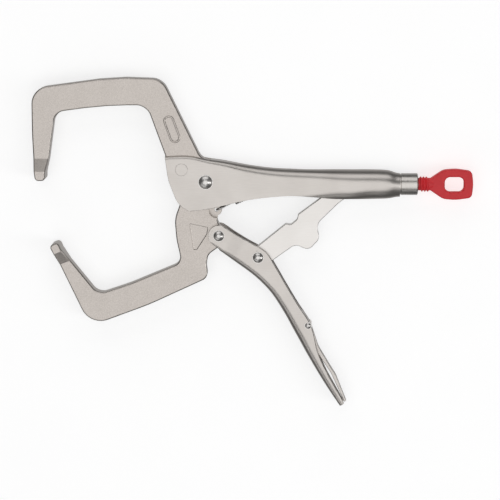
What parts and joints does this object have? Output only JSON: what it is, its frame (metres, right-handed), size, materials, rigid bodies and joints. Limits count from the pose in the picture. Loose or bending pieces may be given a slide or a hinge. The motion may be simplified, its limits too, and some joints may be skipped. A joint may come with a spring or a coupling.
{
  "type": "locking c clamp",
  "caption": "Locking pliers with wide C-shaped jaws, closed by a squeeze lever over a toggle link and set by a screw in the rear of the fixed handle.",
  "frame": {"origin": "centre of the tool's outline at rest, on the surface that it lies on", "axes": "+X along the fixed handle towards the adjusting key, +Y from the lever side towards the fixed jaw, +Z out of the flat side that faces up"},
  "size_m": [0.2781, 0.2112, 0.0196],
  "materials": {
    "forged_nickel": "satin nickel plate on a finely grained forging",
    "pressed_nickel": "satin nickel plate on brushed pressed sheet",
    "turned_nickel": "satin nickel plate on a turned collar",
    "link_nickel": "bright satin nickel plate on a stamped flat",
    "flush_rivet": "satin nickel plate",
    "polished_rivet": "polished nickel plate",
    "spring_wire": "bright drawn wire",
    "screw_steel": "cut thread, lightly oiled",
    "red_coating": "matte red dipped coating"
  },
  "bodies": {
    "frame": {"upper_jaw": "forged_nickel", "fixed_handle": "pressed_nickel", "jaw_rivet": "flush_rivet", "main_pivot_rivet": "polished_rivet", "screw_collar": "turned_nickel", "return_spring": "spring_wire"},
    "lower_jaw": {"lower_jaw": "forged_nickel"},
    "lever": {"moving_handle": "pressed_nickel", "lever_pivot_rivet": "polished_rivet", "link_rivet": "polished_rivet", "release_pin": "polished_rivet"},
    "link": {"toggle_link": "link_nickel"},
    "release": {"release_lever": "pressed_nickel"},
    "screw": {"adjusting_screw": "screw_steel"},
    "key": {"screw_key": "red_coating"}
  },
  "joints": [
    {"name": "jaw_swing", "type": "hinge", "parent": "frame", "child": "lower_jaw", "pos_m": [-0.02955, 0.03927, 0.0098], "axis": [0, 0, -1], "range_deg": [0, 22.4], "deforming": ["return_spring"]},
    {"name": "lever_swing", "type": "hinge", "parent": "lower_jaw", "child": "lever", "pos_m": [-0.02137, 0.005, 0.0098], "axis": [0, 0, 1], "range_deg": [0, 61.23]},
    {"name": "link_swing", "type": "hinge", "parent": "lever", "child": "link", "pos_m": [0.00348, -0.00895, 0.0098], "axis": [0, 0, -1], "range_deg": [0, 54.67]},
    {"name": "release_swing", "type": "hinge", "parent": "lever", "child": "release", "pos_m": [0.03532, -0.05274, 0.0098], "axis": [0, 0, 1], "range_deg": [0, 6]},
    {"name": "key_turn", "type": "hinge", "parent": "screw", "child": "key", "pos_m": [-0.02955, 0.03757, 0.0098], "axis": [1, 0, 0], "range_deg": [0, 5041]},
    {"name": "screw_feed", "type": "slide", "parent": "frame", "child": "screw", "axis": [1, 0, 0], "range_m": [0, 0.0252]}
  ],
  "couplings": [
    {"joint": "lever_swing", "follows": "jaw_swing", "ratio": 2.7336},
    {"joint": "link_swing", "follows": "jaw_swing", "ratio": 2.4408},
    {"joint": "key_turn", "follows": "screw_feed", "rad_per_m": 3490.7}
  ]
}
